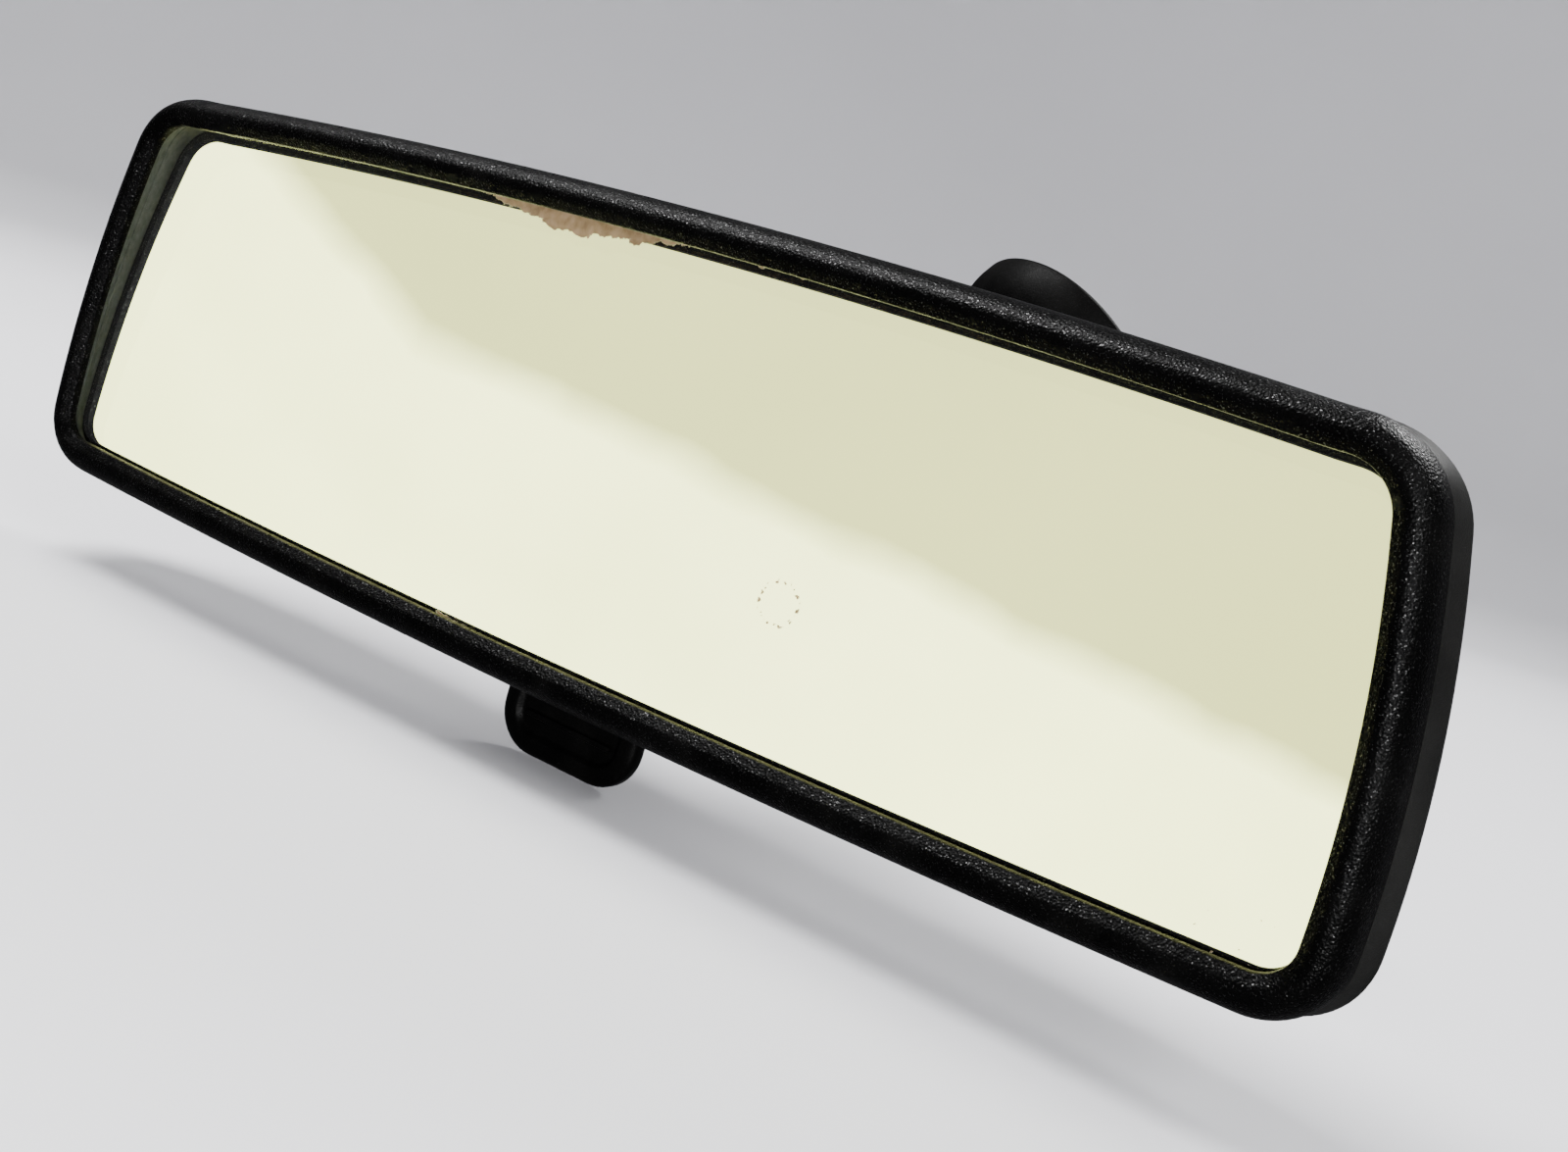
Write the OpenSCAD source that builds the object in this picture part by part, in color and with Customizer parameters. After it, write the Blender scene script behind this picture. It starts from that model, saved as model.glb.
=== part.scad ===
// Interior rearview mirror: prismatic day and night head on a ball-jointed windscreen arm.
// Millimetres. Origin at the centre of the foot's mounting face. +X runs along the head to the
// viewer's right, the glass faces -Y and +Z is up. Modules marked "head" draw in the head's own
// frame, whose origin is the centre of the glass opening, with the opening's lip at y = 0.

/* [Glass opening] */
// Half width of the opening at its top corners
open_top = 111.4; // [100:0.1:116]
// Half width of the opening at its bottom corners
open_bottom = 119; // [112:0.1:122]
// Height of the opening between its corners
open_h = 60.9; // [58:0.1:63]
// Outward bow of the top edge
top_bow = 3.5; // [2:0.1:5]
// Outward bow of the bottom edge
bottom_bow = 2.2; // [1:0.1:3]
// Outward bow of each end
end_bow = 2.3; // [1:0.1:3]
// Radius of the opening's top corners
top_r = 7.5; // [6:0.5:10]
// Radius of the opening's bottom corners
bottom_r = 5; // [4.5:0.5:8]

/* [Bezel and shell] */
// Width of the bezel's face, from the lip to its outer edge
bezel_w = 6.1; // [5.5:0.1:6.5]
// How far the bezel's crest stands proud of the lip
bezel_proud = 1.3; // [0.8:0.1:1.8]
// Depth of the joint between bezel and shell behind the lip
joint_y = 5.8; // [5.6:0.1:6]
// Depth of the rear shell behind the lip
head_depth = 34; // [33:0.5:36]
// Thickness of the moulded walls
wall = 2; // [1.8:0.1:2.2]

/* [Prism glass] */
// Depth of the glass face behind the lip
glass_y = 1.4; // [1.2:0.1:1.6]
// Glass thickness at the bottom edge
glass_thin = 2.5; // [2:0.1:3]
// Glass thickness at the top edge
glass_thick = 6.2; // [5:0.1:6.4]

/* [Day and night lever] */
// Width of the lever's tab
lever_w = 28; // [24:0.5:28]
// How far the tab reaches below the lever's pivot
lever_reach = 22; // [18:0.5:24]
// Turn of the lever between day and night
lever_throw = 30; // [24:1:30]
// Crank radius between the lever's pivot and its drive pin
crank_r = 8; // [7:0.1:8.5]

/* [Ball joint and arm] */
// Radius of the ball
ball_r = 9; // [8.8:0.1:9]
// Turn of the arm to the head's right at rest
head_turn = 25; // [0:1:27]
// Rise of the arm from the ball
arm_rise = 19; // [5:1:22]
// Length from the ball's centre to the elbow
arm_len = 67; // [60:1:80]
// Distance from the elbow to the foot's mounting face
elbow_depth = 18; // [17:0.5:20]
// Rise of the foot's axis, square to the windscreen
foot_rise = 49; // [40:1:60]
// Radius of the foot
foot_r = 21; // [20:0.5:23]
// Radius of the pocket that takes the windscreen button
button_r = 13; // [12:0.1:14]

/* [Hidden] */
$fn = 48;
eps = 0.02;

// Places in the head's frame
ball_y = 25;
ball_z = 3;
tilt_y = 19;
tilt_z = 27;
lever_y = 17;
lever_z = -30.5;
drive_y = lever_y - crank_r * sin(lever_throw / 2);
drive_z = lever_z + crank_r * cos(lever_throw / 2);
frame_y = 10.2;
frame_t = 2.4;
plate_y = 14;
plate_t = 3;
shell_y = joint_y + 0.3;
bezel_drop = 0.4;

// Shell sections, as fractions of its depth, the power of its curve and its flare at the ends
shell_cuts = [0, 0.12, 0.3, 0.48, 0.65, 0.79, 0.89, 0.955, 0.99];
shell_power = 3.5;
shell_flare = 2;

// Hinge rods, screws and fits
tilt_rod_r = 2;
lever_pin_r = 1.5;
press_gap = 0.02;
run_gap = 0.05;
frame_screw_x = 35;
frame_screw_z = [25, -20];
retainer_screw_r = 14.6;
socket_r = 17.5;
liner_t = 1.6;
stud_r = 3.8;
stud_len = 33;
arm_start = 15;
arm_r = 6.5;
elbow_r = 9.5;
stud_pin_at = 24;
dome_depth = 15;
pocket_depth = 5;
clip_depth = 7;

// Directions and places in the row's frame
function heading(rise) = [
    cos(rise) * sin(head_turn),
    cos(rise) * cos(head_turn),
    sin(rise)
];
elbow_at = -elbow_depth * heading(foot_rise);
ball_at = elbow_at - arm_len * heading(arm_rise);
head_at = ball_at - [0, ball_y, ball_z];

// ---- Frames ----
module in_head() translate(head_at) children();
module along(rise) rotate([0, 0, -head_turn]) rotate([rise - 90, 0, 0]) children();
module in_foot() along(foot_rise) children();
module in_arm() translate(ball_at) along(arm_rise) children();
// Cylinder axes inside the head: along Y from y0 to y1, and along X, centred
module y_rod(r, x, z, y0, y1) translate([x, y1, z]) rotate([90, 0, 0]) cylinder(h = y1 - y0, r = r);
module x_rod(r, y, z, half) translate([-half, y, z]) rotate([0, 90, 0]) cylinder(h = 2 * half, r = r);
module block(x0, x1, y0, y1, z0, z1) translate([x0, y0, z0]) cube([x1 - x0, y1 - y0, z1 - z0]);
module both_sides() for (side = [0, 1]) mirror([side, 0, 0])
    children();

// ---- Outline of the opening ----
function top_edge(x) = open_h / 2 + top_bow * (1 - pow(x / open_top, 2));
function bottom_edge(x) = -open_h / 2 - bottom_bow * (1 - pow(x / open_bottom, 2));
function end_edge(z) = let (u = 2 * z / open_h)
    (open_top + open_bottom) / 2 + (open_top - open_bottom) / 2 * u + end_bow * (1 - u * u);
function end_slope(z) = (open_top - open_bottom - 8 * end_bow * z / open_h) / open_h;
// Angles of the outward normals of the top, the bottom and the end
function top_normal(x) = 90 - atan(2 * top_bow * x / pow(open_top, 2));
function bottom_normal(x) = atan(2 * bottom_bow * x / pow(open_bottom, 2)) - 90;
function end_normal(z) = -atan(end_slope(z));
// Centre of a corner of radius r at height z
function corner_at(z, r) = [end_edge(z) - r / cos(end_normal(z)), z];
top_corner = corner_at(top_edge(open_top - top_r) - top_r, top_r);
bottom_corner = corner_at(bottom_edge(open_bottom - bottom_r) + bottom_r, bottom_r);
function corner_arc(at, r, from, to, steps) = [
    for (i = [0 : steps]) let (a = from + (to - from) * i / steps)
        [at[0] + r * cos(a), at[1] + r * sin(a), a]
];
// Right half of the loop from the top to the bottom, as points with their normal's angle
half_loop = concat(
    [for (i = [0 : 6]) let (x = top_corner[0] * i / 7) [x, top_edge(x), top_normal(x)]],
    corner_arc(top_corner, top_r, top_normal(top_corner[0]), end_normal(top_corner[1]), 5),
    [for (i = [1 : 4]) let (z = top_corner[1] + (bottom_corner[1] - top_corner[1]) * i / 5)
        [end_edge(z), z, end_normal(z)]],
    corner_arc(
        bottom_corner, bottom_r, end_normal(bottom_corner[1]), bottom_normal(bottom_corner[0]), 5
    ),
    [for (i = [6 : -1 : 0]) let (x = bottom_corner[0] * i / 7)
        [x, bottom_edge(x), bottom_normal(x)]]
);
half_count = len(half_loop);
opening_loop = concat(
    half_loop,
    [for (i = [half_count - 2 : -1 : 1]) [-half_loop[i][0], half_loop[i][1], 180 - half_loop[i][2]]]
);
loop_count = len(opening_loop);

// The loop at an outset, as points in a plane, and as a ring in space at depth y
function loop_at(outset) = [for (p = opening_loop)
    [p[0] + outset * cos(p[2]), p[1] + outset * sin(p[2])]];
function ring_at(y, outset, drop, scale = 1, flare = 0) = [for (p = loop_at(outset))
    [p[0] * scale + flare * sign(p[0]) * pow(abs(p[0]) / open_bottom, 4), y, p[1] * scale - drop]];
// Walls from each ring to the next, and from the last back to the first if closed
function walls(count, closed) = [
    for (j = [0 : count - (closed ? 1 : 2)]) for (i = [0 : loop_count - 1])
        let (k = (i + 1) % loop_count, a = j * loop_count, b = (j + 1) % count * loop_count)
        [a + i, a + k, b + k, b + i]
];
// Fan from the middle point numbered at to the ring whose first point is numbered first
function fan(at, first, turned) = [
    for (i = [0 : loop_count - 1]) let (k = (i + 1) % loop_count)
        turned ? [at, first + k, first + i] : [at, first + i, first + k]
];
// Solid through rings whose last joins the first, and solid through rings closed at both ends
module ring_band(list) polyhedron([for (ring = list) each ring], walls(len(list), true));
module ring_bowl(list) {
    count = len(list) * loop_count;
    polyhedron(
        concat(
            [for (ring = list) each ring],
            [for (ring = [list[0], list[len(list) - 1]]) [0, ring[0][1], 0]]
        ),
        concat(
            walls(len(list), false),
            fan(count, 0, true),
            fan(count + 1, count - loop_count, false)
        )
    );
}
module slab(y0, y1, outset) translate([0, y1, 0]) rotate([90, 0, 0])
    linear_extrude(y1 - y0) polygon(loop_at(outset));
// Half-space behind the silvered face, moved back by gap
module behind_glass(gap) {
    lean = atan((glass_thick - glass_thin) / (open_h + 8));
    translate([0, glass_y + (glass_thick + glass_thin) / 2 + gap, 0]) rotate([-lean, 0, 0])
        translate([-150, 0, -60]) cube([300, 40, 120]);
}

// ---- Head: casing and glass ----
// Bezel section: the rounded skin from joint to crest, the lip, the rebate and the tongue
bezel_rings = concat(
    [for (turn = [0 : 15 : 90]) ring_at(joint_y - (joint_y + bezel_proud) * sin(turn),
        2.1 + (bezel_w - 2.1) * cos(turn), bezel_drop * cos(turn))],
    [
        ring_at(-bezel_proud + 0.5, 1, 0), ring_at(0, 0, 0), ring_at(glass_y, 0, 0),
        ring_at(glass_y, 2, 0), ring_at(joint_y + 2.7, 2, 0), ring_at(joint_y + 2.7, 3.2, 0),
        ring_at(joint_y, 3.2, 0)
    ]
);
module bezel() color([0.09, 0.09, 0.09]) in_head() ring_band(bezel_rings);

function shell_ring(cut, inset) = ring_at(
    shell_y + (head_depth - shell_y - inset) * cut, bezel_w - inset, bezel_drop,
    pow(1 - pow(cut, shell_power), 1 / shell_power), shell_flare * sin(180 * sqrt(cut))
);
module shell_wall() ring_bowl(concat(
    [for (i = [len(shell_cuts) - 1 : -1 : 0]) shell_ring(shell_cuts[i], 0)],
    [for (cut = shell_cuts) shell_ring(cut, wall + 0.1)]
));

// Bosses that run back into the wall, short of its outer surface
module shell_bosses() intersection() {
    ring_bowl([for (i = [len(shell_cuts) - 1 : -1 : 0]) shell_ring(shell_cuts[i], 0.7)]);
    union() {
        for (x = [-1, 1]) for (z = frame_screw_z)
            y_rod(3.6, x * frame_screw_x, z, frame_y + frame_t + 0.05, head_depth + 5);
        y_rod(3, 0, drive_z + 1, lever_y + 7.6, head_depth + 5);
    }
}

module rear_shell() color([0.13, 0.13, 0.13]) in_head() difference() {
    union() {
        shell_wall();
        shell_bosses();
    }
    y_rod(19.5, 0, ball_z, ball_y - 6, head_depth + 5);
    block(-lever_w / 2 - 0.8, lever_w / 2 + 0.8, 9.4, lever_y + 4, -50, lever_z - 3.4);
    for (x = [-1, 1]) for (z = frame_screw_z) y_rod(1.3, x * frame_screw_x, z, 10, frame_y + 14);
}

module prism_glass() color([0.75, 0.85, 0.8, 0.5]) in_head() difference() {
    slab(glass_y, 12, 1.6);
    behind_glass(0);
}

module silver_coat() color([0.9, 0.9, 0.85]) in_head() difference() {
    intersection() {
        slab(glass_y, 12, 1.5);
        behind_glass(0.02);
    }
    behind_glass(0.17);
}

module glass_foam_pad() color([0.3, 0.3, 0.32]) in_head() intersection() {
    slab(glass_y, frame_y - 0.05, -4);
    behind_glass(0.2);
}

// ---- Head: inner frame and hinges ----
module frame_plate() difference() {
    union() {
        block(-41, 41, frame_y, frame_y + frame_t, -25, 31);
        both_sides() block(14.9, 21, frame_y, frame_y + frame_t, -33.5, -20);
    }
    block(-14.9, 14.9, frame_y - 1, frame_y + frame_t + 1, -40, -17);
    block(-7, 7, frame_y - 1, frame_y + frame_t + 1, -18, -8.6);
    both_sides() block(24, 31, frame_y - 1, frame_y + frame_t + 1, -12, 14);
    both_sides() for (z = frame_screw_z) {
        y_rod(1.7, frame_screw_x, z, frame_y - 1, frame_y + frame_t + 1);
        y_rod(3, frame_screw_x, z, frame_y - 1, frame_y + 1.3);
    }
}

module inner_frame() color([0.2, 0.2, 0.21]) in_head() difference() {
    union() {
        frame_plate();
        both_sides() {
            block(24, 28, frame_y + frame_t - eps, tilt_y, tilt_z - 4, tilt_z + 4);
            translate([26, 0, 0]) x_rod(4, tilt_y, tilt_z, 2);
            block(15, 18.5, frame_y + frame_t - eps, lever_y, lever_z - 3, lever_z + 3);
            translate([16.75, 0, 0]) x_rod(3, lever_y, lever_z, 1.75);
        }
    }
    x_rod(tilt_rod_r + press_gap, tilt_y, tilt_z, 60);
    x_rod(lever_pin_r + press_gap, lever_y, lever_z, 60);
}

module frame_screw(z) difference() {
    union() {
        y_rod(2.8, frame_screw_x, z, frame_y + 0.1, frame_y + 1.3);
        y_rod(1.3 - press_gap, frame_screw_x, z, frame_y + 1.2, frame_y + 12);
    }
    block(frame_screw_x - 1.8, frame_screw_x + 1.8, 0, frame_y + 0.6, z - 0.3, z + 0.3);
    block(frame_screw_x - 0.3, frame_screw_x + 0.3, 0, frame_y + 0.6, z - 1.8, z + 1.8);
}

module frame_screws() color([0.62, 0.62, 0.64]) in_head() both_sides()
    for (z = frame_screw_z) frame_screw(z);

module tilt_hinge_rod() color([0.7, 0.7, 0.72]) in_head() x_rod(tilt_rod_r, tilt_y, tilt_z, 28);

module lever_pivot_pin() color([0.7, 0.7, 0.72]) in_head() x_rod(lever_pin_r, lever_y, lever_z, 18.5);

// Leaf that clicks over the lever's hub: a foot on the frame's leg and a blade behind the hub
module lever_detent_spring() color([0.75, 0.74, 0.7]) in_head() {
    blade_y = lever_y + 3.3;
    block(11.4, 14.4, blade_y, blade_y + 0.4, lever_z - 2, lever_z + 9);
    block(11.4, 20.6, blade_y, blade_y + 0.4, lever_z + 5, lever_z + 9);
    block(20.2, 20.6, frame_y + frame_t, blade_y + 0.4, lever_z + 5, lever_z + 9);
}

module day_stop_pads() color([0.1, 0.1, 0.1]) in_head() both_sides()
    y_rod(2.4, 11, -11, frame_y + frame_t, plate_y - 0.05);

module night_stop_pad() color([0.1, 0.1, 0.1]) in_head()
    y_rod(3, 0, drive_z + 1, lever_y + 5.6, lever_y + 7.6 - eps);

// ---- Lever ----
module tab_outline(margin) {
    r = 7.5 - margin;
    low = lever_z - lever_reach + margin;
    half = lever_w / 2 - margin;
    translate([-half, low + r]) square([2 * half, lever_reach - r - 4]);
    translate([-half + r, low]) square([2 * (half - r), lever_reach - 4]);
    for (x = [-1, 1]) translate([x * (half - r), low + r]) circle(r);
}

module tab_slab(y0, y1, margin) translate([0, y1, 0]) rotate([90, 0, 0])
    linear_extrude(y1 - y0) tab_outline(margin);

module crank_cheek() {
    x_rod(2.9, lever_y, lever_z, 1.5);
    x_rod(2.5, drive_y, drive_z, 1.5);
    translate([0, lever_y, lever_z]) rotate([lever_throw / 2, 0, 0])
        translate([-1.5, -2.3, 0]) cube([3, 4.6, crank_r]);
}

module day_night_lever() color([0.1, 0.1, 0.1]) in_head() {
    front = lever_y - 2;
    difference() {
        union() {
            tab_slab(front, lever_y + 1.4, 0);
            block(-lever_w / 2, lever_w / 2, front, lever_y + 1.4, lever_z - 6, lever_z);
            x_rod(2.9, lever_y, lever_z, 14.6);
            both_sides() translate([8.6, 0, 0]) crank_cheek();
        }
        difference() {
            tab_slab(front - 1, front + 1, 3.6);
            block(-9, 9, front + 0.2, front + 2, lever_z - 15.6, lever_z - 14.6);
        }
        x_rod(lever_pin_r + run_gap, lever_y, lever_z, 60);
        x_rod(lever_pin_r + press_gap, drive_y, drive_z, 60);
    }
}

module lever_drive_pin() color([0.7, 0.7, 0.72]) in_head() x_rod(lever_pin_r, drive_y, drive_z, 10);

// ---- Toggle bracket and ball socket ----
module toggle_bracket() color([0.24, 0.24, 0.25]) in_head() difference() {
    union() {
        x_rod(4, tilt_y, tilt_z, 23.6);
        block(-19, 19, plate_y, plate_y + plate_t, ball_z, tilt_z);
        block(-19, 19, plate_y, tilt_y, tilt_z - 6, tilt_z);
        block(-13.5, 13.5, plate_y, plate_y + plate_t, -16, ball_z);
        y_rod(socket_r, 0, ball_z, plate_y, ball_y + 4.3);
        block(-6, 6, drive_y - 3.2, drive_y + 3.2, drive_z - 3.2, -10);
    }
    x_rod(tilt_rod_r + run_gap, tilt_y, tilt_z, 60);
    translate([0, ball_y, ball_z]) sphere(ball_r + liner_t + run_gap);
    y_rod(ball_r + liner_t + run_gap, 0, ball_z, ball_y, ball_y + 2);
    y_rod(12.3, 0, ball_z, ball_y + 0.4, ball_y + 10);
    block(-7, 7, drive_y - 1.8, drive_y + 1.8, drive_z - 10, drive_z + 2.4);
    for (a = [45 : 90 : 315])
        y_rod(1, retainer_screw_r * cos(a), ball_z + retainer_screw_r * sin(a), ball_y - 5, ball_y + 6);
}

module socket_retainer() color([0.72, 0.72, 0.74]) in_head() difference() {
    y_rod(socket_r, 0, ball_z, ball_y + 4.35, ball_y + 5.85);
    y_rod(9.9, 0, ball_z, ball_y, ball_y + 9);
    for (a = [45 : 90 : 315]) {
        x = retainer_screw_r * cos(a);
        z = ball_z + retainer_screw_r * sin(a);
        y_rod(1.1, x, z, ball_y, ball_y + 9);
        y_rod(2.1, x, z, ball_y + 5.05, ball_y + 9);
    }
}

module retainer_screws() color([0.62, 0.62, 0.64]) in_head() for (a = [45 : 90 : 315]) {
    x = retainer_screw_r * cos(a);
    z = ball_z + retainer_screw_r * sin(a);
    difference() {
        union() {
            y_rod(2, x, z, ball_y + 5.1, ball_y + 5.8);
            y_rod(0.98, x, z, ball_y - 4, ball_y + 5.2);
        }
        block(x - 1.4, x + 1.4, ball_y + 5.5, ball_y + 7, z - 0.25, z + 0.25);
    }
}

module clamp_spring_washer() color([0.78, 0.76, 0.7]) in_head() difference() {
    y_rod(12.1, 0, ball_z, ball_y + 3.5, ball_y + 4.3);
    y_rod(9.9, 0, ball_z, ball_y, ball_y + 9);
}

module ball_seat_ring() color([0.88, 0.87, 0.82]) in_head() difference() {
    y_rod(12.25, 0, ball_z, ball_y + 0.6, ball_y + 3.4);
    translate([0, ball_y, ball_z]) sphere(ball_r + run_gap);
}

module ball_seat_cup() color([0.88, 0.87, 0.82]) in_head() difference() {
    translate([0, ball_y, ball_z]) sphere(ball_r + liner_t);
    translate([0, ball_y, ball_z]) sphere(ball_r + run_gap);
    y_rod(20, 0, ball_z, ball_y - 7.6, ball_y + 20);
    y_rod(3.4, 0, ball_z, ball_y - 20, ball_y);
}

// ---- Arm: from the ball to the elbow, then square to the foot ----
module ball_stud() color([0.75, 0.75, 0.77]) in_arm() difference() {
    union() {
        sphere(ball_r);
        cylinder(h = stud_len, r = stud_r);
    }
    translate([-10, 0, stud_pin_at]) rotate([0, 90, 0]) cylinder(h = 20, r = 1 + press_gap);
}

module stud_spring_pin() color([0.6, 0.6, 0.62]) in_arm()
    translate([-6.4, 0, stud_pin_at]) rotate([0, 90, 0]) cylinder(h = 12.8, r = 1);

module arm() color([0.1, 0.1, 0.1]) difference() {
    union() {
        difference() {
            union() {
                in_arm() translate([0, 0, arm_start])
                    cylinder(h = arm_len - arm_start, r1 = arm_r, r2 = elbow_r);
                translate(elbow_at) sphere(elbow_r + 0.4);
                in_foot() translate([0, 0, -elbow_depth]) cylinder(h = 10, r = elbow_r);
            }
            in_foot() translate([0, 0, -dome_depth]) cylinder(h = 20, r = 20);
        }
        in_foot() translate([0, 0, -elbow_depth]) cylinder(h = elbow_depth - 11.5, r = 6);
    }
    in_arm() cylinder(h = stud_len + 0.3, r = stud_r + press_gap);
    in_arm() translate([-12, 0, stud_pin_at]) rotate([0, 90, 0]) cylinder(h = 24, r = 1 + press_gap);
    in_foot() translate([0, 0, -24]) cylinder(h = 20, r = 2 + press_gap);
}

module arm_screw() color([0.62, 0.62, 0.64]) in_foot() difference() {
    union() {
        translate([0, 0, -10.3]) cylinder(h = 3, r = 3.9);
        translate([0, 0, -23.5]) cylinder(h = 13.3, r = 2);
    }
    translate([0, 0, -9]) cylinder(h = 3, r = 2, $fn = 6);
}

// ---- Foot ----
function dome_x(turn) = elbow_r + 0.6 + (foot_r - elbow_r - 0.6) * cos(turn);
function dome_z(turn) = -2.6 - (dome_depth - 2.6) * sin(turn);

module mount_foot() color([0.12, 0.12, 0.12]) in_foot() difference() {
    rotate_extrude() polygon(concat(
        [[0, -dome_depth], [0, 0], [foot_r - 0.8, 0], [foot_r, -0.8]],
        [for (turn = [0 : 10 : 90]) [dome_x(turn), dome_z(turn)]]
    ));
    translate([0, 0, -pocket_depth]) cylinder(h = 9, r = button_r);
    translate([0, 0, -clip_depth]) cylinder(h = 9, r = button_r - 1);
    translate([0, 0, -10.4]) cylinder(h = 9, r = 4.1);
    translate([0, 0, -20]) cylinder(h = 9, r = 6 + press_gap);
    translate([0, 0, -20]) cylinder(h = 15, r = 2.2);
    for (side = [-1, 1]) translate([side * 8, 0, -11.2]) cylinder(h = 5, r = 1 + press_gap);
    translate([0, 0, -1.5]) difference() {
        cylinder(h = 3, r = 19);
        translate([0, 0, -1]) cylinder(h = 5, r = 16.2);
    }
}

module foot_gasket() color([0.06, 0.06, 0.06]) in_foot() translate([0, 0, -1.5]) difference() {
    cylinder(h = 1.5, r = 18.9);
    translate([0, 0, -1]) cylinder(h = 5, r = 16.3);
}

module button_clip() color([0.76, 0.75, 0.7]) in_foot() difference() {
    translate([0, 0, -clip_depth]) cylinder(h = 0.7, r = button_r - 1.1);
    translate([0, 0, -clip_depth - 1]) cylinder(h = 5, r = 4.6);
    for (side = [-1, 1]) {
        translate([side * 8, 0, -clip_depth - 1]) cylinder(h = 5, r = 1 + press_gap);
        translate([-4.5, side * 8.5 - 0.5, -clip_depth - 1]) cube([9, 1, 5]);
    }
}

module clip_rivets() color([0.7, 0.7, 0.72]) in_foot() for (side = [-1, 1])
    translate([side * 8, 0, -11.2]) {
        cylinder(h = 4.9, r = 1);
        translate([0, 0, 11.2 - clip_depth + 0.7]) cylinder(h = 0.8, r = 1.9);
    }

bezel();
rear_shell();
prism_glass();
silver_coat();
glass_foam_pad();
inner_frame();
frame_screws();
tilt_hinge_rod();
lever_pivot_pin();
lever_detent_spring();
day_stop_pads();
night_stop_pad();
day_night_lever();
lever_drive_pin();
toggle_bracket();
socket_retainer();
retainer_screws();
clamp_spring_washer();
ball_seat_ring();
ball_seat_cup();
ball_stud();
stud_spring_pin();
arm();
arm_screw();
mount_foot();
foot_gasket();
button_clip();
clip_rivets();
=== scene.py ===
"""Interior rearview mirror: the look of the finished part, built around its CAD frame.

Metres in Blender; the sizes below are millimetres, in the head's own frame unless they say
otherwise: origin at the centre of the glass opening, X to the viewer's right, the glass facing
-Y, Z up. The row frame has its origin at the centre of the foot's mounting face.
"""

import math

import bmesh
import bpy
from mathutils import Matrix, Vector


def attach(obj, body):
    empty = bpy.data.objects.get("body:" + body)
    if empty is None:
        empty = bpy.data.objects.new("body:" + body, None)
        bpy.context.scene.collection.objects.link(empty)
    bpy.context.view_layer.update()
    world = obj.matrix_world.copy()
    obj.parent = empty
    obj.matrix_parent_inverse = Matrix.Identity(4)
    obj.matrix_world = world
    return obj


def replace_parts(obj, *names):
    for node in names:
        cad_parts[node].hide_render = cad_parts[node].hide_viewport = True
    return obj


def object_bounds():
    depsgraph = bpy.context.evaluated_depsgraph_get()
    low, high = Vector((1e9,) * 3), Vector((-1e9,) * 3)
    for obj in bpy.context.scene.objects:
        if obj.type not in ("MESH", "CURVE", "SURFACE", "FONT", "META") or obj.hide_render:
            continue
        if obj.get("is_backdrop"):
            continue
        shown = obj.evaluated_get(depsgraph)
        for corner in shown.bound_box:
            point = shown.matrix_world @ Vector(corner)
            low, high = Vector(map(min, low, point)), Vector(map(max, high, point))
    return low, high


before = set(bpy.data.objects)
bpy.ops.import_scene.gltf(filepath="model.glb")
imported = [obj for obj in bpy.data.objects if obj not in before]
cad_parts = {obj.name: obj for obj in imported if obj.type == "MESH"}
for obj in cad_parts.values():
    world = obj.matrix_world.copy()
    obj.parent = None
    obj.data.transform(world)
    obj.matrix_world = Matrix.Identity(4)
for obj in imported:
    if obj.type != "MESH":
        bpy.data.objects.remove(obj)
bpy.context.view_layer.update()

MM = 0.001

# ---- Sizes of the object, as in its CAD source ----
OPEN_TOP, OPEN_BOTTOM, OPEN_H = 111.4, 119.0, 60.9
TOP_BOW, BOTTOM_BOW, END_BOW = 3.5, 2.2, 2.3
TOP_R, BOTTOM_R = 7.5, 5.0
BEZEL_W, BEZEL_PROUD, BEZEL_DROP, CREST = 6.1, 1.3, 0.4, 2.1
JOINT_Y, SHELL_Y, HEAD_DEPTH, WALL = 5.8, 6.1, 34.0, 2.1
SHELL_POWER, SHELL_FLARE = 3.5, 2.0
SOCKET_HOLE_R = 19.5
GLASS_Y, GLASS_THIN, GLASS_THICK, GLASS_LAP = 1.4, 2.5, 6.2, 1.6
LEVER_W, LEVER_REACH, LEVER_THROW, CRANK_R = 28.0, 22.0, 30.0, 8.0
LEVER_Y, LEVER_Z = 17.0, -30.5
BALL_Y, BALL_Z = 25.0, 3.0
HEAD_TURN, ARM_RISE, FOOT_RISE = 25.0, 19.0, 49.0
ARM_LEN, ARM_START, ARM_R, ELBOW_R, ELBOW_DEPTH = 67.0, 15.0, 6.5, 9.5, 18.0
FOOT_R, DOME_DEPTH = 21.0, 15.0


def heading(rise):
    """Unit vector at that rise from the level, turned to the head's right."""
    a, b = math.radians(rise), math.radians(HEAD_TURN)
    return Vector((math.cos(a) * math.sin(b), math.cos(a) * math.cos(b), math.sin(a)))


def along(rise, at):
    """Matrix that lays local Z along the heading, from a point in millimetres."""
    turn = Matrix.Rotation(-math.radians(HEAD_TURN), 4, "Z")
    tip = Matrix.Rotation(math.radians(rise - 90), 4, "X")
    return Matrix.Translation(at * MM) @ turn @ tip


ELBOW_AT = -ELBOW_DEPTH * heading(FOOT_RISE)
BALL_AT = ELBOW_AT - ARM_LEN * heading(ARM_RISE)
HEAD_AT = BALL_AT - Vector((0, BALL_Y, BALL_Z))
IN_HEAD = Matrix.Translation(HEAD_AT * MM)


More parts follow.
